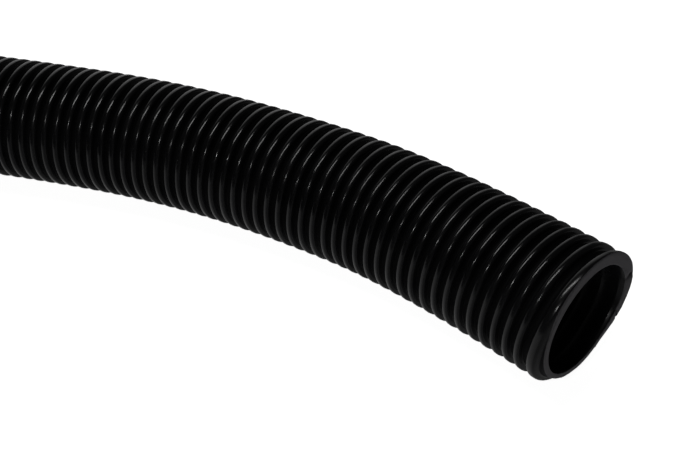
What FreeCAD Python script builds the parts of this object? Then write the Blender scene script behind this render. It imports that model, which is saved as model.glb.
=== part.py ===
"""Spiral-wound pool vacuum hose: one open cut end, one swivel cuff, spare length tied in a coil.

The frame has +Z up and the floor at Z = 0. The origin is on the floor under the middle of the
whole object. The hose runs from the swivel cuff, around the coil, and out to the cut end.
Angles round the coil are clockwise from +Y, seen from above, which is the way the hose runs.
"""
import FreeCAD, Part
import math
import os

os.makedirs("parts", exist_ok=True)
V = FreeCAD.Vector

# Hose section.
HOSE_R = 23.5          # over the ribs
BORE_R = 19.0          # 38 mm, the 1 1/2 inch size
FILLET_SHARE = 0.45    # of the shorter run, taken by each bend of a tube

# Coil: four places for a turn, two side by side and two high, tied by three straps.
COIL_X = -107.6
COIL_Y = -1.5
COIL_R = 236.0                       # to the middle of the bundle
STRAP_T = 1.6
INNER_R = COIL_R - HOSE_R
OUTER_R = COIL_R + HOSE_R
LOW_Z = HOSE_R + STRAP_T             # the straps pass under the coil
HIGH_Z = LOW_Z + 2 * HOSE_R
SQUARE = [(INNER_R, LOW_Z), (OUTER_R, LOW_Z), (OUTER_R, HIGH_Z), (INNER_R, HIGH_Z)]
WEDGE = [(INNER_R, LOW_Z), (OUTER_R, LOW_Z), (INNER_R, HIGH_Z)]
SQUARE_FROM = 110.0                  # where the coil is two turns high on both sides
LEAVES_AT = 352.0                    # where the hose leaves the coil's top outer place
WEDGE_TO = SQUARE_FROM + 360.0

# Straps and their buckles.
STRAPS = {"strap_1": (75.0, WEDGE), "strap_2": (190.0, SQUARE), "strap_3": (300.0, SQUARE)}
STRAP_W = 25.0
BUCKLE_W = 32.0
BUCKLE_LONG = 18.0                   # along the strap
BUCKLE_T = 3.0
SLOT_W = 26.0
SLOT_LONG = 9.0
BUCKLE_GAP = 0.5                     # between the buckle and the strap's second layer

# Route of the hose outside the coil: corner points of its runs.
CUFF_Z = 30.0
TAIL = [
    (COIL_X - OUTER_R, -206.0, CUFF_Z),
    (COIL_X - OUTER_R, -128.0, CUFF_Z),
    (COIL_X - OUTER_R, -42.3, LOW_Z),
    (COIL_X - OUTER_R, 39.3, LOW_Z),
]
LEAD = [
    (-184.1, 249.8, HIGH_Z),
    (-103.3, 261.2, HIGH_Z),
    (-32.0, 267.2, 68.5),
    (32.0, 270.2, 50.5),
    (86.0, 268.4, 35.0),
    (133.5, 265.1, 26.0),
    (182.5, 257.6, HOSE_R),
    (238.2, 241.8, HOSE_R),
    (287.6, 218.8, HOSE_R),
    (340.0, 185.0, HOSE_R),
    (383.0, 141.3, HOSE_R),
]
TAIL_ENDS = 2          # the run in whose middle the tail joins the coil
LEAD_STARTS = 0        # the run in whose middle the lead leaves it
LEAD_ENDS = 4          # the run in whose middle the flexing stretch starts
FLEX_ENDS = 7          # and the one where it gives way to the free end

# Swivel cuff, along its own axis from the hose's end (u = 0) outwards.
CUFF_BORE_R = 19.05
SLEEVE_U = (-36.0, 0.0)
SLEEVE_R = 25.6
SLEEVE_RIB_R = 26.6
SLEEVE_RIBS = 5
FLANGE_U = (0.0, 3.0)
FLANGE_R = 27.3
SHOULDER_R = 19.2
SEAL_U = (3.1, 5.0)
SEAL_R = (20.4, 27.0)
BARREL_U = (-14.0, 8.0)
BARREL_R = (27.6, 29.2)
GRIP_R = 30.0
GRIPS = 24
RING_U = (-6.0, -0.4)
RING_IN_R = 26.9
WALL_U = 5.0
NOSE_U = 52.0
NOSE_R = (24.2, 22.6)                # at its root and at its mouth
LIP_R = 23.4
LIP_LONG = 5.0


def vec(point):
    return V(*point)


def bends(points):
    """For each inner corner of the route: where its arc starts, its middle, its end, its radius."""
    found = []
    for before, corner, after in zip(points, points[1:], points[2:]):
        way_in = corner - before
        way_out = after - corner
        trim = FILLET_SHARE * min(way_in.Length, way_out.Length)
        way_in.normalize()
        way_out.normalize()
        half = way_in.getAngle(way_out) / 2
        radius = trim / math.tan(half)
        inward = way_out - way_in
        inward.normalize()
        middle = corner + inward * (radius / math.cos(half) - radius)
        found.append((corner - way_in * trim, middle, corner + way_out * trim, radius))
    return found


def sweep(path, start, way, radius):
    circle = Part.Wire([Part.Circle(start, way, radius).toShape()])
    return path.makePipeShell([circle], True, False)


def tube(name, route, first=None, last=None, to_last_bend=False):
    """A hollow tube along the route, from its start or the middle of run first, to its end, the
    middle of run last, or the end of its last bend."""
    points = [vec(p) for p in route]
    arcs = bends(points)
    start, stop = points[0], points[-1]
    if first is not None:
        start = (points[first] + points[first + 1]) / 2
        arcs = arcs[first:]
    if last is not None:
        stop = (points[last] + points[last + 1]) / 2
        arcs = arcs[:last - (first or 0)]
    if to_last_bend:
        stop = arcs[-1][2]
    edges = []
    here = start
    for arc_start, middle, arc_end, _ in arcs:
        edges.append(Part.LineSegment(here, arc_start).toShape())
        edges.append(Part.Arc(arc_start, middle, arc_end).toShape())
        here = arc_end
    if not to_last_bend:
        edges.append(Part.LineSegment(here, stop).toShape())
    path = Part.Wire(edges)
    way = arcs[0][0] - start
    shape = sweep(path, start, way, HOSE_R).cut(sweep(path, start, way, BORE_R))
    section = math.pi * (HOSE_R ** 2 - BORE_R ** 2)
    print(name, "length", round(path.Length, 1), "radii", [round(a[3]) for a in arcs],
          "volume / (section x length)", round(shape.Volume / (section * path.Length), 4))
    return shape


def mouth():
    """The straight stretch after the last bend, up to the cut end."""
    points = [vec(p) for p in LEAD]
    start = bends(points)[-1][2]
    way = points[-1] - start
    outside = Part.makeCylinder(HOSE_R, way.Length, start, way)
    return outside.cut(Part.makeCylinder(BORE_R, way.Length, start, way))


def turned(face, start, stop):
    """A face drawn in the XZ plane, X being the distance from the coil's axis, revolved."""
    face = face.copy()
    face.rotate(V(0, 0, 0), V(0, 0, 1), 90 - start)
    solid = face.revolve(V(0, 0, 0), V(0, 0, -1), stop - start)
    solid.translate(V(COIL_X, COIL_Y, 0))
    return solid


def hull_wire(centres, radius):
    """The outline of circles of one radius round the corners of a convex polygon."""
    pts = [V(r, 0, z) for r, z in centres]
    edges = []
    count = len(pts)
    outward = []
    for k in range(count):
        along = pts[(k + 1) % count] - pts[k]
        along.normalize()
        outward.append(V(along.z, 0, -along.x))
    for k in range(count):
        here, there = pts[k], pts[(k + 1) % count]
        push = outward[k] * radius
        edges.append(Part.LineSegment(here + push, there + push).toShape())
        corner = outward[k] + outward[(k + 1) % count]
        corner.normalize()
        edges.append(Part.Arc(there + push, there + corner * radius,
                              there + outward[(k + 1) % count] * radius).toShape())
    return Part.Wire(edges)


def side_patch(centres, side, low, high, near, far):
    """A rectangle on one side of the bundle, from low to high along it and near to far off it."""
    a, b = (V(r, 0, z) for r, z in (centres[side], centres[(side + 1) % len(centres)]))
    along = b - a
    along.normalize()
    out = V(along.z, 0, -along.x)
    places = [(low, near), (high, near), (high, far), (low, far)]
    corners = [a + along * s + out * d for s, d in places]
    return Part.Face(Part.makePolygon(corners + corners[:1]))


def coil():
    square = turned(Part.Face(hull_wire(SQUARE, HOSE_R)), SQUARE_FROM, LEAVES_AT)
    wedge = turned(Part.Face(hull_wire(WEDGE, HOSE_R)), LEAVES_AT, WEDGE_TO)
    return square.fuse(wedge).removeSplitter()


def half_turn(width):
    """Half the angle that a width takes at the middle of the bundle."""
    return math.degrees(width / 2 / COIL_R)


def closing_side(centres):
    """The number of the bundle's side that a strap closes on, and that side's length."""
    side = 1
    a, b = centres[side], centres[side + 1]
    return side, math.hypot(b[0] - a[0], b[1] - a[1])


def strap(angle, centres):
    """A loop round the bundle, with the strap's end lying on it as a second layer."""
    outer = Part.Face(hull_wire(centres, HOSE_R + STRAP_T))
    loop = outer.cut(Part.Face(hull_wire(centres, HOSE_R)))
    side, long = closing_side(centres)
    layer_long = long - BUCKLE_LONG - BUCKLE_GAP
    layer = side_patch(centres, side, 0, layer_long, HOSE_R + STRAP_T, HOSE_R + 2 * STRAP_T)
    start, stop = angle - half_turn(STRAP_W), angle + half_turn(STRAP_W)
    return turned(loop, start, stop).fuse(turned(layer, start, stop))


def buckle(angle, centres):
    """A flat frame with a slot, lying on the strap."""
    side, long = closing_side(centres)
    near = HOSE_R + STRAP_T
    far = near + BUCKLE_T
    frame = side_patch(centres, side, long - BUCKLE_LONG, long, near, far)
    margin = (BUCKLE_LONG - SLOT_LONG) / 2
    slot_from, slot_to = long - BUCKLE_LONG + margin, long - margin
    slot = side_patch(centres, side, slot_from, slot_to, near - 1, far + 1)
    half, half_slot = half_turn(BUCKLE_W), half_turn(SLOT_W)
    plate = turned(frame, angle - half, angle + half)
    return plate.cut(turned(slot, angle - half_slot, angle + half_slot))


def lathe(profile):
    """A closed profile of (u, radius) corners, turned about the cuff's axis."""
    x, y, z = TAIL[0]
    corners = [V(x, y - u, z + r) for u, r in profile]
    face = Part.Face(Part.makePolygon(corners + corners[:1]))
    return face.revolve(V(x, y, z), V(0, -1, 0), 360)


def cuff_sleeve():
    """Glued and screwed over the hose's end, with a flange that the swivel turns on."""
    first, last = SLEEVE_U
    body = lathe([(first, HOSE_R), (first, SLEEVE_R), (last, SLEEVE_R), (last, FLANGE_R),
                  (FLANGE_U[1], FLANGE_R), (FLANGE_U[1], SHOULDER_R), (0, SHOULDER_R), (0, HOSE_R)])
    pitch = (BARREL_U[0] - first) / (SLEEVE_RIBS + 1)
    for k in range(SLEEVE_RIBS):
        u = first + pitch * (k + 0.6)
        rib = lathe([(u, SLEEVE_R - 0.2), (u + 0.5, SLEEVE_RIB_R), (u + 1.5, SLEEVE_RIB_R),
                     (u + 2.0, SLEEVE_R - 0.2)])
        body = body.fuse(rib)
    return body.removeSplitter()


def cuff_ring():
    """Retaining ring, pressed into the barrel behind the flange."""
    return lathe([(RING_U[0], RING_IN_R), (RING_U[1], RING_IN_R), (RING_U[1], BARREL_R[0]),
                  (RING_U[0], BARREL_R[0])])


def cuff_seal():
    """Face seal between the flange and the barrel's end wall."""
    return lathe([(SEAL_U[0], SEAL_R[0]), (SEAL_U[1], SEAL_R[0]), (SEAL_U[1], SEAL_R[1]),
                  (SEAL_U[0], SEAL_R[1])])


def cuff_swivel():
    """The turning part: a gripped barrel over the flange and a tapered nose with the bore."""
    mouth = NOSE_U - LIP_LONG
    body = lathe([(BARREL_U[0], BARREL_R[0]), (WALL_U, BARREL_R[0]), (WALL_U, CUFF_BORE_R),
                  (NOSE_U, CUFF_BORE_R), (NOSE_U, LIP_R - 0.8), (NOSE_U - 0.8, LIP_R),
                  (mouth, LIP_R), (mouth - 1.5, NOSE_R[1]), (BARREL_U[1] + 2, NOSE_R[0]),
                  (BARREL_U[1], NOSE_R[0] + 2), (BARREL_U[1], BARREL_R[1]),
                  (BARREL_U[0], BARREL_R[1])])
    x, y, z = TAIL[0]
    long = BARREL_U[1] - BARREL_U[0] - 4
    bar = Part.makeBox(1.6, long, 2.0, V(x - 0.8, y - BARREL_U[1] + 2, z + GRIP_R - 2.0))
    for k in range(GRIPS):
        grip = bar.copy()
        grip.rotate(V(x, y, z), V(0, 1, 0), (k + 0.5) * 360.0 / GRIPS)
        body = body.fuse(grip)
    return body.removeSplitter()


PARTS = {
    "hose_coil": coil(),
    "hose_tail": tube("hose_tail", TAIL, last=TAIL_ENDS),
    "hose_lead": tube("hose_lead", LEAD, LEAD_STARTS, LEAD_ENDS),
    "hose_flex": tube("hose_flex", LEAD, LEAD_ENDS, FLEX_ENDS),
    "hose_end": tube("hose_end", LEAD, FLEX_ENDS, to_last_bend=True),
    "hose_mouth": mouth(),
    "cuff_sleeve": cuff_sleeve(),
    "cuff_swivel": cuff_swivel(),
    "cuff_ring": cuff_ring(),
    "cuff_seal": cuff_seal(),
}
for name, (angle, centres) in STRAPS.items():
    PARTS[name] = strap(angle, centres)
    PARTS[name.replace("strap", "buckle")] = buckle(angle, centres)

for name, shape in PARTS.items():
    shape.exportStep("parts/" + name + ".step")
    box = shape.BoundBox
    print(name, "solids", len(shape.Solids), "valid", shape.isValid(), "volume", round(shape.Volume),
          [round(c, 1) for c in (box.XMin, box.XMax, box.YMin, box.YMax, box.ZMin, box.ZMax)])
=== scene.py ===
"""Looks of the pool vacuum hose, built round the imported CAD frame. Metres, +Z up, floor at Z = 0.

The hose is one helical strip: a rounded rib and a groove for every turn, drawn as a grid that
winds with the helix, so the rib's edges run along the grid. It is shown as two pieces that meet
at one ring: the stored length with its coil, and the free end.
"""
import math

import bpy
import numpy as np
from mathutils import Matrix, Vector

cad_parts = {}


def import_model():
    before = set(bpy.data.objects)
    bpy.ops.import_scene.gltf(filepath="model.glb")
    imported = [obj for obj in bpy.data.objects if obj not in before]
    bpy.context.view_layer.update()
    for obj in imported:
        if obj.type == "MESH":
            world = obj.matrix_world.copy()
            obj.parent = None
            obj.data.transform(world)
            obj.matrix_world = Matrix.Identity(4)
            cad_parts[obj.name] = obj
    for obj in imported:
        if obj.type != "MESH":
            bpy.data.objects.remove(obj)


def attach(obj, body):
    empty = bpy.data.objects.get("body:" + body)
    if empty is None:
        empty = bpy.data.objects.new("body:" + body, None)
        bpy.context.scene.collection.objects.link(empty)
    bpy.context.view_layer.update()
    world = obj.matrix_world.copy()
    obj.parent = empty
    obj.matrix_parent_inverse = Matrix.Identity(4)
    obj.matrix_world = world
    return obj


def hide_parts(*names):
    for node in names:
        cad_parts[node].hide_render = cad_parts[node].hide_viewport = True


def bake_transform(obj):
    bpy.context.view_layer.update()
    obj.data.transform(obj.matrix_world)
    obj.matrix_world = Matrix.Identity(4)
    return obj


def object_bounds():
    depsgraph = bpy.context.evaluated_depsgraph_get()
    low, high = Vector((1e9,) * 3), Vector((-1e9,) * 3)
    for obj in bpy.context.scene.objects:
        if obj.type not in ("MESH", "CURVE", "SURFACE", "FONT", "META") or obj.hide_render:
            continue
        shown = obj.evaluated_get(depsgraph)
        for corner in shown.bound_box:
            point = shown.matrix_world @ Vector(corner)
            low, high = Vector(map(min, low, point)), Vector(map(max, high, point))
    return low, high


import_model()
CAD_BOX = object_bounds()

MM = 0.001

# Hose section and helix.
HOSE_R = 23.5 * MM          # over the ribs
HOSE_D = 2 * HOSE_R
GROOVE_R = 20.6 * MM        # at the bottom of the groove
GROOVE_VEE = 0.75 * MM      # how much higher the groove is at its sides than in its middle
BORE_R = 19.0 * MM
PITCH = 4.942 * MM
RIB_RISE = HOSE_R - GROOVE_R
RIB_HALF = 0.262            # half the rib's width, as a share of the pitch
RIB_FOOT = 0.045            # fillet at the rib's foot, as a share of the pitch
RIB_SQUARE = 0.60           # 1 for a half round rib, less for a squarer one
RIB_SWEEP = 0.94            # how much of the half turn the crown's points cover
RIB_SIDE = 0.12             # height of the crown's sides, as a share of the rise
FOOT_HIGH = 0.30            # height of the foot, as a share of the rise
WALL_RELIEF = 0.10 * MM     # how far the bore's wall lies outside BORE_R
WELD = [(0.04, 0.14 * MM), (0.10, 0.16 * MM)]   # the weld bead: place in the pitch, height
WELD_TO = 0.16              # where the bead ends in the pitch
WALL_SPAN = 0.82            # and how much of the pitch the wall between takes

# Cut end.
CUT_RIB_ANGLE = -41.0       # where the cut goes through the rib's middle, degrees from the top
OVAL_REACH = 16 * MM        # how far back the cut end is out of round
OVAL = [(0.085, -90, 32), (-0.035, -142, 20), (0.012, 90, 50)]   # share, angle, spread
END_PULL = 1.0 * MM         # how far the last turns are drawn back from the cut
END_EXTRA = 1.3 * MM        # and how much more just behind it
END_REACH = 4.0 * MM
EXTRA_REACH = 20.0 * MM
PEEL = 2.2 * MM             # how far the last rib peels back from the cut, on one side
PEEL_START = 1.2 * MM
PEEL_REACH = 8.0 * MM
PEEL_SIDE = (120.0, 42.0)   # angle from the top, and how far the peel spreads
CUT_ROUND = 0.28 * MM       # rounding of the cut's outer edge
CUT_BURR = 0.16 * MM        # of its inner edge
LIP = 0.22 * MM             # height of the lip that the saw left round the bore
SLIT_DEEP = 1.6 * MM
SLIT_HALF = 0.9             # degrees
SLIT_STEP = 0.8
SLITS = [(-79.0, 0.0), (-117.0, -9.0)]      # angle from the top, and how far the slit leans
SPUR = (-151.5, 0.55 * MM)  # angle and height of a torn spur on the outer edge
SPUR_HALF = 0.8
THIN = (2.0 * MM, -86, 16)  # where the wall is thinned from inside: depth, angle, spread

# Coil, as in the CAD: angles are clockwise from +Y, seen from above.
COIL_X = -0.1076
COIL_Y = -0.0015
COIL_R = 0.236
STRAP_T = 1.6 * MM
LOW_Z = HOSE_R + STRAP_T
COIL_STEPS = 65
COIL_FROM = 270.0
COIL_TO = 1432.0
TO_INNER = (535.0, 635.0)
TO_OUTER = (1190.0, 1290.0)
TO_TOP = (875.0, 960.0)

# Route outside the coil: control points of the hose's own spline.
TAIL = [
    (-0.3671, -0.206, 0.030),
    (-0.3671, -0.128, 0.030),
    (-0.3671, -0.0423, LOW_Z),
]
LEAD = [
    (-0.1033, 0.2612, 0.0721),
    (-0.032, 0.2672, 0.0685),
    (0.032, 0.2702, 0.0505),
    (0.086, 0.2684, 0.035),
    (0.1335, 0.2651, 0.026),
    (0.1825, 0.2576, 0.0235),
    (0.2382, 0.2418, 0.0235),
    (0.2876, 0.2188, 0.0235),
    (0.3400, 0.1850, 0.0235),
    (0.383, 0.1413, 0.0235),
]
FLEX_STARTS = (Vector(LEAD[3]) + Vector(LEAD[4])) / 2      # the flexing stretch, as in the CAD

# Camera.
CAM_PLACE = Vector((0.30777, -0.07655, 0.23102))
CAM_TARGET = Vector((0.30777, 0.18844, 0.0235))
CAM_LENS = 51.65


# ---------------------------------------------------------------- route

def ease(angle, limits):
    """0 before the limits, 1 after them, and a smooth cosine between."""
    share = min(max((angle - limits[0]) / (limits[1] - limits[0]), 0.0), 1.0)
    return (1 - math.cos(math.pi * share)) / 2


def coil_points():
    """The coil's turns: four places, two side by side and two high."""
    step = (COIL_TO - COIL_FROM) / COIL_STEPS
    widen = 1 / math.cos(math.radians(step) / 2)
    found = []
    for k in range(COIL_STEPS):
        angle = COIL_FROM + step * (k + 0.5)
        inward = ease(angle, TO_INNER) - ease(angle, TO_OUTER)
        radius = (COIL_R + HOSE_R - HOSE_D * inward) * widen
        height = LOW_Z + HOSE_D * ease(angle, TO_TOP)
        turn = math.radians(angle)
        found.append((COIL_X + radius * math.sin(turn), COIL_Y + radius * math.cos(turn), height))
    return found


def spline_line(route):
    """Points along the NURBS spline that has the route's points as its control points."""
    curve = bpy.data.curves.new("hose_route", "CURVE")
    curve.dimensions = "3D"
    spline = curve.splines.new("NURBS")
    spline.points.add(len(route) - 1)
    for point, place in zip(spline.points, route):
        point.co = (*place, 1.0)
    spline.order_u = 3
    spline.use_endpoint_u = True
    spline.resolution_u = 48
    holder = bpy.data.objects.new("hose_route", curve)
    bpy.context.scene.collection.objects.link(holder)
    bpy.context.view_layer.update()
    mesh = bpy.data.meshes.new_from_object(holder)
    line = np.array([v.co for v in mesh.vertices], float)
    bpy.data.objects.remove(holder)
    bpy.data.meshes.remove(mesh)
    return line


class Route:
    """The hose's centreline by distance along it, with its side and up directions."""

    def __init__(self, line):
        steps = np.linalg.norm(np.diff(line, axis=0), axis=1)
        line = line[np.append(True, steps > 1e-9)]
        self.line = line
        self.along = np.append(0, np.cumsum(np.linalg.norm(np.diff(line, axis=0), axis=1)))
        way = np.gradient(line, self.along, axis=0)
        self.way = way / np.linalg.norm(way, axis=1)[:, None]
        self.length = self.along[-1]

    def nearest(self, place):
        """Distance along the line of its point nearest to a place."""
        gaps = np.linalg.norm(self.line - np.array(place), axis=1)
        return self.along[gaps.argmin()]

    def at(self, s):
        """Place, way, side and up of the line at distances s."""
        place = np.stack([np.interp(s, self.along, self.line[:, k]) for k in range(3)], -1)
        way = np.stack([np.interp(s, self.along, self.way[:, k]) for k in range(3)], -1)
        way /= np.linalg.norm(way, axis=-1, keepdims=True)
        side = np.cross(way, (0.0, 0.0, 1.0))
        side /= np.linalg.norm(side, axis=-1, keepdims=True)
        return place, way, side, np.cross(side, way)

    def part(self, start, stop):
        """The line's own points from start to stop."""
        inside = self.line[(self.along > start) & (self.along < stop)]
        ends = self.at(np.array([start, stop]))[0]
        return np.vstack([ends[:1], inside, ends[1:]])


ROUTE = Route(spline_line(TAIL + coil_points() + LEAD))


# ---------------------------------------------------------------- hose section

def rib_profile(crown, walls, floor):
    """One pitch of the outside as (place in the pitch, radius), from groove middle to groove
    middle, with the rib's crown in the middle. The numbers say how many points each part has."""
    found = []
    for k in range(crown):
        turn = math.pi * ((k + 0.5) / crown - 0.5) * RIB_SWEEP
        wide = math.copysign(abs(math.sin(turn)) ** RIB_SQUARE, turn)
        high = RIB_SIDE + (1 - RIB_SIDE) * math.cos(turn) ** RIB_SQUARE
        found.append((RIB_HALF * wide, GROOVE_R + RIB_RISE * high))
    left = []
    for k in range(walls):
        share = (k + 1) / (walls + 1)
        high = GROOVE_VEE + (FOOT_HIGH * RIB_RISE - GROOVE_VEE) * (1 - share) ** 2
        left.append((-(RIB_HALF + RIB_FOOT * share), GROOVE_R + high))
    right = [(-place, radius) for place, radius in left]
    found = left[::-1] + found + right
    edge = RIB_HALF + RIB_FOOT
    for k in range(floor):
        share = (k + 1) / (floor + 1)
        place = edge + (1 - 2 * edge) * share
        found.append((place, GROOVE_R + GROOVE_VEE * abs(2 * share - 1)))
    return np.array(sorted(((place + 0.5) % 1.0, radius) for place, radius in found))


def bore_profile(steps):
    """One pitch of the bore: a smooth wall with a narrow bead where each turn of the strip is
    welded to the next."""
    bead = [(place, BORE_R - high) for place, high in WELD]
    wall = [(WELD_TO + WALL_SPAN * k / steps, BORE_R + WALL_RELIEF) for k in range(steps)]
    return np.array(bead + wall)


def radius_at(profile, phase):
    """Radius of a profile at places in the pitch, wrapping round."""
    place = np.concatenate([profile[-1:, 0] - 1, profile[:, 0], profile[:1, 0] + 1])
    radius = np.concatenate([profile[-1:, 1], profile[:, 1], profile[:1, 1]])
    return np.interp(np.mod(phase, 1.0), place, radius)


PHASE_END = 0.5 - CUT_RIB_ANGLE / 360.0        # puts the rib's middle at that angle on the cut


def hump(turn, middle, half):
    """1 at a place round the hose, falling smoothly to 0 on both sides of it."""
    gap = np.mod(turn - middle / 360.0 + 0.5, 1.0) - 0.5
    return np.exp(-(gap * 360.0 / half) ** 2)


def drawn_back(s, turn):
    """Where a point of the evenly wound strip really lies: the last turns are stretched."""
    behind = np.minimum(s - ROUTE.length, 0.0)
    pull = END_PULL + END_EXTRA * np.exp(behind / EXTRA_REACH)
    pull = pull * (1 - np.exp(behind / END_REACH))
    peel = PEEL * np.exp(behind / PEEL_REACH) * (1 - np.exp(behind / PEEL_START))
    return s - pull - peel * hump(turn, *PEEL_SIDE)


def rib_phase(s, turn):
    """Place in the pitch at distance s along the hose and a share of a turn from the top."""
    even = s
    for _ in range(30):
        even = even + (s - drawn_back(even, turn)) / 3
    return (even - ROUTE.length) / PITCH + turn + PHASE_END


def out_of_round(s, turn):
    """How far the cut end is pressed out of round, as a share of the radius."""
    near = np.exp(-((ROUTE.length - s) / OVAL_REACH) ** 2)
    return near * sum(share * hump(turn, angle, half) for share, angle, half in OVAL)


def on_ring(s, turn, radius):
    """Points at distance s along the hose, at a share of a turn from the top, at a radius."""
    place, _, side, up = ROUTE.at(s)
    angle = 2 * math.pi * turn[..., None]
    radius = radius * (1 + out_of_round(s, turn))
    return place + radius[..., None] * (np.cos(angle) * up + np.sin(angle) * side)


def helix_surface(start, stop, profile, turns, outside=True):
    """A surface that winds with the left-handed helix, from start to stop along the hose.

    Column j is at turns[j] of a turn from the top. A row keeps its place in the pitch, so it
    moves back along the hose as the columns go round, and after a full turn it meets the row one
    pitch before it. Whatever lies beyond start or stop is put on the ring there. Gives the
    points, the faces, for each face whether it lies in a groove, and the numbers of the points
    on the two end rings.
    """
    per = len(profile)
    around = len(turns)
    columns = np.arange(around)
    first = math.floor((start - ROUTE.length) / PITCH) - 2
    last = math.ceil((stop - ROUTE.length) / PITCH) + 3
    rows = np.arange(first * per, last * per)
    phase = (rows // per + profile[rows % per, 0])[:, None]
    turn = np.broadcast_to(turns, (len(rows), around))
    free = drawn_back(ROUTE.length + PITCH * (phase - turn - PHASE_END), turn)
    s = np.clip(free, start, stop)
    radius = radius_at(profile, rib_phase(s, turn))
    points = on_ring(s, turn, radius).reshape(-1, 3)

    # Rows beyond an end share one point for each column.
    low = (free <= start).sum(0) - 1
    high = (free < stop).sum(0)
    number = np.clip(np.arange(len(rows))[:, None], low, high) * around + columns
    i = np.arange(per, len(rows) - 1)[:, None]
    after = (columns + 1) % around
    back = np.where(columns == around - 1, per, 0)
    a, b = number[i, columns], number[i + 1, columns]
    c, d = number[i + 1 - back, after], number[i - back, after]
    quads = np.stack([a, d, c, b] if outside else [a, b, c, d], -1).reshape(-1, 4)
    sunk = profile[:, 1] < GROOVE_R + 1.2 * GROOVE_VEE
    sunk = sunk & np.roll(sunk, -1) & outside
    sunk = np.broadcast_to(sunk[rows[i] % per], (len(i), around)).reshape(-1)
    repeats = quads == np.roll(quads, -1, axis=1)
    whole, cut = repeats.sum(1) == 0, repeats.sum(1) == 1
    faces = quads[whole].tolist()
    for quad, same in zip(quads[cut], repeats[cut]):
        faces.append(quad[~same].tolist())
    in_groove = np.append(sunk[whole], sunk[cut])
    return points, faces, in_groove, low * around + columns, high * around + columns


def ring_strip(one, other, outside=True):
    """Quads between two rings of equal count, given as point numbers."""
    next_one, next_other = np.roll(one, -1), np.roll(other, -1)
    order = [one, next_one, next_other, other] if outside else [one, other, next_other, next_one]
    return np.stack(order, -1).tolist()


class Shell:
    """Collects points and faces for one mesh, with a material number for each face."""

    def __init__(self):
        self.points, self.faces, self.kinds, self.count = [], [], [], 0

    def add(self, points, faces=(), kind=0):
        """Adds points and the faces between them, and gives their first number."""
        first = self.count
        self.points.append(np.asarray(points, float).reshape(-1, 3))
        self.count += len(self.points[-1])
        self.join([[n + first for n in face] for face in faces], kind)
        return first

    def join(self, faces, kind=0):
        """Adds faces between points that are there already, of one kind or a kind for each."""
        self.faces.extend(faces)
        self.kinds.extend(np.broadcast_to(kind, len(faces)).tolist())

    def build(self, name, materials, smooth=True):
        """The mesh object, without points that no face uses."""
        used = np.zeros(self.count, bool)
        used[np.concatenate([np.asarray(face) for face in self.faces])] = True
        number = np.cumsum(used) - 1
        mesh = bpy.data.meshes.new(name)
        faces = [[int(number[n]) for n in face] for face in self.faces]
        mesh.from_pydata(np.vstack(self.points)[used].tolist(), [], faces)
        mesh.polygons.foreach_set("material_index", np.array(self.kinds, np.int32))
        mesh.polygons.foreach_set("use_smooth", np.full(len(faces), smooth))
        mesh.update()
        obj = bpy.data.objects.new(name, mesh)
        bpy.context.scene.collection.objects.link(obj)
        for material in materials:
            mesh.materials.append(material)
        return obj


# ---------------------------------------------------------------- hose

def even_turns(around):
    return np.arange(around) / around


def cut_turns(around):
    """Even columns, and close ones at the slits of the cut."""
    extra = []
    for angle, lean in SLITS:
        reach = SLIT_HALF + abs(lean) / 2
        extra.extend(angle + np.arange(-reach, reach + 0.1, SLIT_STEP))
    extra.extend([SPUR[0] - 1.2, SPUR[0], SPUR[0] + 1.2])
    return np.unique(np.round(np.append(even_turns(around), np.mod(extra, 360.0) / 360.0), 6))


def wobble(turn, waves, seed):
    """A smooth, repeating, uneven wave round a ring, from about -1 to 1."""
    total = 0.0
    for k, wave in enumerate(waves):
        total = total + np.sin(2 * math.pi * (wave * turn + 0.37 * seed + 0.61 * k * seed))
    return total / len(waves)


def slits(turn, share):
    """Depth of the slits in the cut face, at a share of the wall from outside to inside."""
    deep = 0.0
    for angle, lean in SLITS:
        deep = deep + SLIT_DEEP * hump(turn, angle + lean * (0.5 - share), SLIT_HALF)
    return deep * (1.0 if share > 0.15 else 0.35)


def cut_face(shell, outer, inner, turn, outer_r, inner_r):
    """The sawn end: a rough rounded outer edge, a nearly flat face, and a lip round the bore."""
    previous = outer
    shares = [0.0, 0.05, 0.14, 0.32, 0.52, 0.72, 0.84, 0.93, 1.0]
    for k, share in enumerate(shares[1:-1]):
        rough = 0.16 * MM * wobble(turn, (31, 47, 83), 2.0 + k) * (1 - share) ** 2
        radius = outer_r - (outer_r - inner_r) * share + rough
        edge = 0.35 if k == 0 else 0.0
        lip = LIP if share in (0.84, 0.93) else 0.0
        marks = 0.045 * MM * wobble(turn, (23, 41, 67), k + 1.0)
        s = ROUTE.length - edge * CUT_ROUND + lip + marks - slits(turn, share)
        first = shell.add(on_ring(s, turn, radius))
        ring = first + np.arange(len(turn))
        shell.join(ring_strip(previous, ring), 1)
        previous = ring
    shell.join(ring_strip(previous, inner), 1)


def hose_piece(name, start, stop, profile, bore, turns, materials):
    """A closed length of hose from start to stop, its ends flat, or sawn at the hose's own end."""
    shell = Shell()
    is_cut = stop >= ROUTE.length
    outer_stop = stop - (CUT_ROUND if is_cut else 0)
    inner_stop = stop - (CUT_BURR if is_cut else 0)
    points, faces, groove, low, high = helix_surface(start, outer_stop, profile, turns)
    first = shell.add(points, faces, np.where(groove, 3, 0))
    low_out, high_out = low + first, high + first
    points, faces, _, low, high = helix_surface(start, inner_stop, bore, turns, False)
    first = shell.add(points, faces, 2)
    low_in, high_in = low + first, high + first
    shell.join(ring_strip(low_out, low_in, False), 1)
    if is_cut:
        phase = rib_phase(stop, turns)
        spur = SPUR[1] * hump(turns, SPUR[0], SPUR_HALF)
        outer_r = radius_at(profile, phase) + spur
        thin = THIN[0] * hump(turns, *THIN[1:])
        cut_face(shell, high_out, high_in, turns, outer_r, radius_at(bore, phase) + thin)
    else:
        shell.join(ring_strip(high_out, high_in), 1)
    return shell.build(name, materials)


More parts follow.
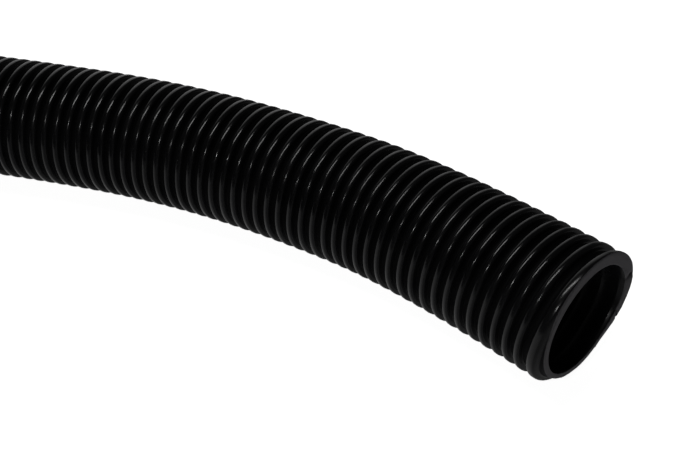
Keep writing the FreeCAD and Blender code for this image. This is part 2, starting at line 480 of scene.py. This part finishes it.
# ---------------------------------------------------------------- straps

STRAP_W = 25.0 * MM
BUCKLE_LONG = 18.0 * MM
BUCKLE_GAP = 0.5 * MM
STRAP_ROUND = 0.55 * MM     # rounding of the strap's woven edges
STRAP_CROWN = 0.05 * MM
STITCH = (1.0 * MM, 0.34 * MM)          # half length and half width of one stitch
STITCH_ROWS = (3.0 * MM, 9.0 * MM)      # from the strap's end
STITCHES = 9
STITCH_SPAN = 0.86          # share of the strap's width that a row of stitches takes
HIGH_Z = LOW_Z + HOSE_D
INNER, OUTER = COIL_R - HOSE_R, COIL_R + HOSE_R
SQUARE = [(INNER, LOW_Z), (OUTER, LOW_Z), (OUTER, HIGH_Z), (INNER, HIGH_Z)]
WEDGE = [(INNER, LOW_Z), (OUTER, LOW_Z), (INNER, HIGH_Z)]
STRAPS = {"strap_1": (75.0, WEDGE), "strap_2": (190.0, SQUARE), "strap_3": (300.0, SQUARE)}


def strap_path(centres):
    """The strap's way round the bundle: twice along the side that it closes on, which is the one
    after the bottom, the second time on top of itself. Rows of radius, height, outward, layer."""
    count = len(centres)
    corners = [Vector(c) for c in centres]
    out = []
    for k in range(count):
        run = (corners[(k + 1) % count] - corners[k]).normalized()
        out.append(Vector((run.y, -run.x)))
    found = []
    for k in range(1, count + 2):
        here, there = corners[k % count], corners[(k + 1) % count]
        last = k == count + 1
        layer = 1.0 if last else 0.0
        long = (there - here).length
        reach = 1 - (BUCKLE_LONG + BUCKLE_GAP) / long if last else 1.0
        for share in np.linspace(0, reach, 9):
            found.append((here.lerp(there, share), out[k % count], layer))
        if not last:
            turn = out[k % count].angle_signed(out[(k + 1) % count])
            for share in np.linspace(0, 1, 12)[1:-1]:
                way = out[k % count].copy()
                way.rotate(Matrix.Rotation(-turn * share, 2))
                found.append((there, way, share if k == count else 0.0))
    return found


def strap_place(angle, point, across, height):
    """A point on the strap: across it, and at a height above the inside of the first layer."""
    centre, out, layer = point
    reach = HOSE_R + layer * STRAP_T + height
    turn = math.radians(angle) + across / COIL_R
    radius = centre.x + out.x * reach
    return (COIL_X + radius * math.sin(turn), COIL_Y + radius * math.cos(turn),
            centre.y + out.y * reach)


def strap_section():
    """Round the strap's section: (across, height) corners, a little crowned, edges rounded."""
    half, top = STRAP_W / 2, STRAP_T - 0.04 * MM
    outside = []
    for share in np.linspace(-0.95, 0.95, 11):
        outside.append((half * share, top - STRAP_CROWN * abs(share)))
    right = [(half, top - STRAP_ROUND), (half, STRAP_ROUND)]
    inside = [(half * share, STRAP_CROWN) for share in (0.95, 0.0, -0.95)]
    left = [(-half, STRAP_ROUND), (-half, top - STRAP_ROUND)]
    return outside + right + inside + left


def stitch(shell, angle, point, across):
    """One stitch lying across the strap: a small spindle of thread, half sunk in it."""
    long, thick = STITCH
    centre, out, layer = point
    rings = []
    for share in (-1.0, -0.6, 0.0, 0.6, 1.0):
        wide = thick * math.sqrt(max(1 - share * share, 0.02))
        ring = []
        for k in range(6):
            turn = math.pi * k / 3
            side = (across + long * share, STRAP_T + wide * math.sin(turn))
            along = Vector((-out.y, out.x)) * wide * math.cos(turn)
            ring.append(strap_place(angle, (centre + along, out, layer), *side))
        rings.append(shell.add(ring) + np.arange(6))
    for one, other in zip(rings, rings[1:]):
        shell.join(ring_strip(one, other), 1)
    shell.join([rings[0].tolist(), rings[-1][::-1].tolist()], 1)


def strap_piece(name, angle, centres, materials):
    """A woven tie: one band round the bundle, lapped over itself and sewn near its end."""
    shell = Shell()
    path, section = strap_path(centres), strap_section()
    rings = []
    for point in path:
        ring = [strap_place(angle, point, across, height) for across, height in section]
        rings.append(shell.add(ring) + np.arange(len(section)))
    for one, other in zip(rings, rings[1:]):
        shell.join(ring_strip(one, other))
    shell.join([rings[0].tolist(), rings[-1][::-1].tolist()])
    end, out, layer = path[-1]
    back = (path[-2][0] - end).normalized()
    for gap in STITCH_ROWS:
        for k in range(STITCHES):
            across = STRAP_W * STITCH_SPAN * ((k + 0.5) / STITCHES - 0.5)
            stitch(shell, angle, (end + back * gap, out, layer), across)
    obj = shell.build(name, materials)
    lay_out(obj, path, section, len(section))
    return obj


def lay_out(obj, path, section, wide):
    """A flat layout in metres, across and along the band, for its weave."""
    along = [0.0]
    for one, other in zip(path, path[1:]):
        arc = (one[1] - other[1]).length * HOSE_R
        along.append(along[-1] + max((one[0] - other[0]).length, arc))
    layer = obj.data.uv_layers.new(name="band")
    for loop in obj.data.loops:
        row, column = divmod(loop.vertex_index, wide)
        if row < len(path):
            layer.data[loop.index].uv = (section[column][0], along[row])


# ---------------------------------------------------------------- materials

def new_material(name):
    """A node material, its node tree, and its Principled shader."""
    material = bpy.data.materials.new(name)
    material.use_nodes = True
    tree = material.node_tree
    return material, tree, tree.nodes["Principled BSDF"]


def add(tree, kind, inputs=(), **settings):
    """A node, with its settings and its inputs: values, or sockets to link."""
    node = tree.nodes.new("ShaderNode" + kind)
    for key, value in settings.items():
        setattr(node, key, value)
    for key, value in dict(inputs).items():
        if isinstance(value, bpy.types.NodeSocket):
            tree.links.new(value, node.inputs[key])
        else:
            node.inputs[key].default_value = value
    return node


def ramp(tree, factor, stops):
    """A colour ramp over greys or colours."""
    node = add(tree, "ValToRGB", {"Fac": factor})
    elements = node.color_ramp.elements
    while len(elements) < len(stops):
        elements.new(0.5)
    for element, (place, shade) in zip(elements, stops):
        element.position = place
        element.color = (*shade, 1) if isinstance(shade, tuple) else (shade, shade, shade, 1)
    return node.outputs["Color"]


def hose_material(name, gloss, specular=0.5):
    """Black extruded plastic: glossy, with fine grain, faint smears and a little dust."""
    material, tree, shader = new_material(name)
    where = add(tree, "TexCoord").outputs["Object"]
    grain = add(tree, "TexNoise", {"Vector": where, "Scale": 2600.0, "Detail": 2.0})
    smear = add(tree, "TexNoise", {"Vector": where, "Scale": 55.0, "Detail": 5.0,
                                   "Roughness": 0.62})
    rough = ramp(tree, smear.outputs["Fac"], [(0.30, gloss), (0.72, gloss + 0.10)])
    colour = ramp(tree, smear.outputs["Fac"], [(0.35, (0.0024, 0.0025, 0.0028)),
                                               (0.75, (0.0055, 0.0055, 0.0060))])
    bump = add(tree, "Bump", {"Height": grain.outputs["Fac"], "Strength": 0.10,
                              "Distance": 0.00004})
    tree.links.new(colour, shader.inputs["Base Color"])
    tree.links.new(rough, shader.inputs["Roughness"])
    tree.links.new(bump.outputs["Normal"], shader.inputs["Normal"])
    shader.inputs["IOR"].default_value = 1.48
    shader.inputs["Specular IOR Level"].default_value = specular
    return material


def cut_material():
    """The sawn face: the same plastic, torn to a matt dark grey with fine radial marks."""
    material, tree, shader = new_material("hose_cut")
    where = add(tree, "TexCoord").outputs["Object"]
    grain = add(tree, "TexNoise", {"Vector": where, "Scale": 900.0, "Detail": 6.0,
                                   "Roughness": 0.7})
    colour = ramp(tree, grain.outputs["Fac"], [(0.35, (0.019, 0.018, 0.020)),
                                               (0.70, (0.042, 0.040, 0.043))])
    rough = ramp(tree, grain.outputs["Fac"], [(0.3, 0.42), (0.7, 0.62)])
    bump = add(tree, "Bump", {"Height": grain.outputs["Fac"], "Strength": 0.5,
                              "Distance": 0.0002})
    tree.links.new(colour, shader.inputs["Base Color"])
    tree.links.new(rough, shader.inputs["Roughness"])
    tree.links.new(bump.outputs["Normal"], shader.inputs["Normal"])
    return material


def plastic_material(name, shade, rough, grain_size, grain_deep):
    """Moulded plastic: fine grain, soft edges, uneven polish, and edges rubbed a little paler."""
    material, tree, shader = new_material(name)
    where = add(tree, "TexCoord").outputs["Object"]
    grain = add(tree, "TexNoise", {"Vector": where, "Scale": 1 / grain_size, "Detail": 4.0,
                                   "Roughness": 0.6})
    patch = add(tree, "TexNoise", {"Vector": where, "Scale": 90.0, "Detail": 4.0})
    polish = ramp(tree, patch.outputs["Fac"], [(0.3, rough - 0.06), (0.7, rough + 0.08)])
    colour = ramp(tree, patch.outputs["Fac"], [(0.30, tuple(c * 0.82 for c in shade)),
                                               (0.72, tuple(c * 1.25 for c in shade))])
    edge = add(tree, "NewGeometry").outputs["Pointiness"]
    worn = ramp(tree, edge, [(0.52, 0.0), (0.60, 0.35)])
    mixed = add(tree, "Mix", {"Factor": worn, "A": colour, "B": (0.09, 0.09, 0.092, 1)},
                data_type="RGBA")
    soft = add(tree, "Bevel", {"Radius": 0.00035}, samples=6)
    bump = add(tree, "Bump", {"Height": grain.outputs["Fac"], "Strength": 0.35,
                              "Distance": grain_deep, "Normal": soft.outputs["Normal"]})
    tree.links.new(mixed.outputs["Result"], shader.inputs["Base Color"])
    tree.links.new(polish, shader.inputs["Roughness"])
    tree.links.new(bump.outputs["Normal"], shader.inputs["Normal"])
    return material


def wave(tree, value, step):
    """A smooth wave from 0 to 1 over a length, one step long."""
    turns = add(tree, "Math", {0: value, 1: 2 * math.pi / step}, operation="MULTIPLY")
    swing = add(tree, "Math", {0: turns.outputs[0]}, operation="SINE")
    return add(tree, "Math", {0: swing.outputs[0], 1: 0.5, 2: 0.5}, operation="MULTIPLY_ADD")


def webbing_material():
    """Woven black webbing: yarns across and along, with fuzz, painted shade between them and a
    painted highlight on their tops.
    """
    material, tree, shader = new_material("strap_webbing")
    flat = add(tree, "UVMap", uv_map="band").outputs["UV"]
    parts = add(tree, "SeparateXYZ", {0: flat})
    warp = wave(tree, parts.outputs["X"], 0.00125).outputs[0]
    weft = wave(tree, parts.outputs["Y"], 0.00170).outputs[0]
    weave = add(tree, "Math", {0: warp, 1: weft}, operation="MULTIPLY").outputs[0]
    where = add(tree, "TexCoord").outputs["Object"]
    fuzz = add(tree, "TexNoise", {"Vector": where, "Scale": 1500.0, "Detail": 4.0})
    height = add(tree, "Math", {0: fuzz.outputs["Fac"], 1: 0.5, 2: weave},
                 operation="MULTIPLY_ADD")
    bump = add(tree, "Bump", {"Height": height.outputs[0], "Strength": 0.9, "Distance": 0.00022})
    # Colour from the weave's height: darker in the hollows between yarns as painted shade, paler on
    # the yarn tops as painted highlight, with the fuzz's random tone mixed in.
    colour = ramp(tree, height.outputs[0], [(0.25, (0.006, 0.006, 0.007)),
                                            (0.95, (0.035, 0.035, 0.038))])
    tree.links.new(colour, shader.inputs["Base Color"])
    tree.links.new(bump.outputs["Normal"], shader.inputs["Normal"])
    shader.inputs["Roughness"].default_value = 0.82
    shader.inputs["Sheen Weight"].default_value = 0.25
    shader.inputs["Sheen Roughness"].default_value = 0.5
    return material


def thread_material():
    """Sewing thread: dark grey, twisted, a little shiny."""
    material, tree, shader = new_material("strap_thread")
    where = add(tree, "TexCoord").outputs["Object"]
    twist = add(tree, "TexNoise", {"Vector": where, "Scale": 2200.0, "Detail": 2.0})
    colour = ramp(tree, twist.outputs["Fac"], [(0.3, (0.03, 0.03, 0.032)),
                                               (0.7, (0.08, 0.08, 0.085))])
    tree.links.new(colour, shader.inputs["Base Color"])
    shader.inputs["Roughness"].default_value = 0.55
    return material


HOSE = hose_material("hose_plastic", 0.14)
BORE = hose_material("hose_bore", 0.20)
GROOVE = hose_material("hose_groove", 0.55, 0.08)
CUT = cut_material()

FLEX_START = ROUTE.nearest(FLEX_STARTS)
free = hose_piece("free_hose", FLEX_START, ROUTE.length, rib_profile(11, 1, 3), bore_profile(2),
                  cut_turns(60), [HOSE, CUT, BORE, GROOVE])
stored = hose_piece("stored_hose", 0.0, FLEX_START, rib_profile(5, 1, 1), bore_profile(1),
                    even_turns(32), [HOSE, CUT, BORE, GROOVE])

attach(stored, "root")
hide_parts("hose_tail", "hose_coil", "hose_lead")
ROUTE.part(0.0, FLEX_START).tolist()
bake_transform(free)
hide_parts("hose_flex", "hose_end", "hose_mouth")
ROUTE.at(np.array([FLEX_START]))[0][0]
ROUTE.part(FLEX_START, ROUTE.length).tolist()


# ---------------------------------------------------------------- cuff, straps, buckles

FINISHES = {
    "cuff_sleeve": plastic_material("cuff_plastic", (0.012, 0.012, 0.013), 0.42, 0.0007, 0.00006),
    "cuff_swivel": plastic_material("swivel_plastic", (0.020, 0.020, 0.022), 0.36, 0.0005, 0.00005),
    "cuff_ring": plastic_material("ring_nylon", (0.050, 0.050, 0.052), 0.50, 0.0006, 0.00004),
    "cuff_seal": plastic_material("seal_rubber", (0.022, 0.022, 0.022), 0.75, 0.0009, 0.00008),
}
WEBBING = webbing_material()
THREAD = thread_material()
BUCKLE = plastic_material("buckle_plastic", (0.016, 0.016, 0.017), 0.34, 0.0006, 0.00004)

for name, (angle, centres) in STRAPS.items():
    tie = strap_piece("woven_" + name, angle, centres, [WEBBING, THREAD])
    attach(tie, "root")
    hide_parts(name)
    FINISHES[name.replace("strap", "buckle")] = BUCKLE
for node, material in FINISHES.items():
    bpy.data.objects[node].data.materials.clear()
    bpy.data.objects[node].data.materials.append(material)


# ---------------------------------------------------------------- stage, lights, camera

LIT = (0.27, 0.22, 0.03)                # what the lamps point at
WALL_WAY = (-0.25, 0.93, 0.26)          # towards the lit wall
FLOOR_WAY = (-0.86, 0.50, 0.0)          # towards the bright side of the floor


def look_at(obj, place, target):
    obj.location = place
    obj.rotation_euler = (Vector(target) - Vector(place)).to_track_quat("-Z", "Y").to_euler()
    bpy.context.scene.collection.objects.link(obj)


def area_light(name, place, target, size, power):
    lamp = bpy.data.lights.new(name, "AREA")
    lamp.shape = "RECTANGLE"
    lamp.size, lamp.size_y = size
    lamp.energy = power
    look_at(bpy.data.objects.new(name, lamp), place, target)


def stage():
    """A plain white floor."""
    floor_mesh = bpy.data.meshes.new("floor")
    far, low = 4.0, CAD_BOX[0].z - 0.0001
    floor_mesh.from_pydata([(-far, -far, low), (far, -far, low), (far, far, low),
                            (-far, far, low)], [], [(0, 1, 2, 3)])
    floor = bpy.data.objects.new("floor", floor_mesh)
    bpy.context.scene.collection.objects.link(floor)
    material, tree, shader = new_material("floor_white")
    shader.inputs["Base Color"].default_value = (0.85, 0.85, 0.85, 1)
    shader.inputs["Roughness"].default_value = 0.9
    shader.inputs["Emission Color"].default_value = (1, 1, 1, 1)
    shader.inputs["Emission Strength"].default_value = 0.95
    floor_mesh.materials.append(material)
    floor.visible_glossy = False


def shade(tree, way, towards, stops):
    """A ramp over how far a direction points towards another."""
    dot = add(tree, "VectorMath", {0: way, 1: towards}, operation="DOT_PRODUCT")
    return ramp(tree, dot.outputs["Value"], stops)


def world():
    """White to the eye. In reflections, a pale floor and a lit wall behind to the left, in an
    otherwise dark room."""
    scene_world = bpy.data.worlds.new("studio")
    bpy.context.scene.world = scene_world
    scene_world.use_nodes = True
    tree = scene_world.node_tree
    way = add(tree, "TexCoord").outputs["Generated"]
    down = shade(tree, way, (0, 0, -1), [(0.02, 0.0), (0.16, 1.0)])
    floor = shade(tree, way, FLOOR_WAY, [(0.0, 0.085), (0.60, 0.32)])
    wall = shade(tree, way, WALL_WAY, [(0.78, 0.028), (0.94, 0.50)])
    around = add(tree, "Mix", {"Factor": down, "A": wall, "B": floor}, data_type="RGBA")
    seen = add(tree, "LightPath").outputs["Is Camera Ray"]
    mixed = add(tree, "Mix", {"Factor": seen, "A": around.outputs["Result"],
                              "B": (1.0, 1.0, 1.0, 1)}, data_type="RGBA")
    tree.links.new(mixed.outputs["Result"], tree.nodes["Background"].inputs["Color"])


stage()
world()
area_light("key", (0.01, 0.18, 0.97), LIT, (0.10, 0.60), 1.7)
area_light("small", (-0.10, -0.40, 0.60), LIT, (0.03, 0.04), 0.42)

camera_data = bpy.data.cameras.new("camera")
camera_data.lens = CAM_LENS
camera_data.sensor_width = 36.0
camera_data.clip_start = 0.01
camera = bpy.data.objects.new("camera", camera_data)
look_at(camera, CAM_PLACE, CAM_TARGET)
bpy.context.scene.camera = camera
bpy.context.scene.view_settings.view_transform = "Standard"
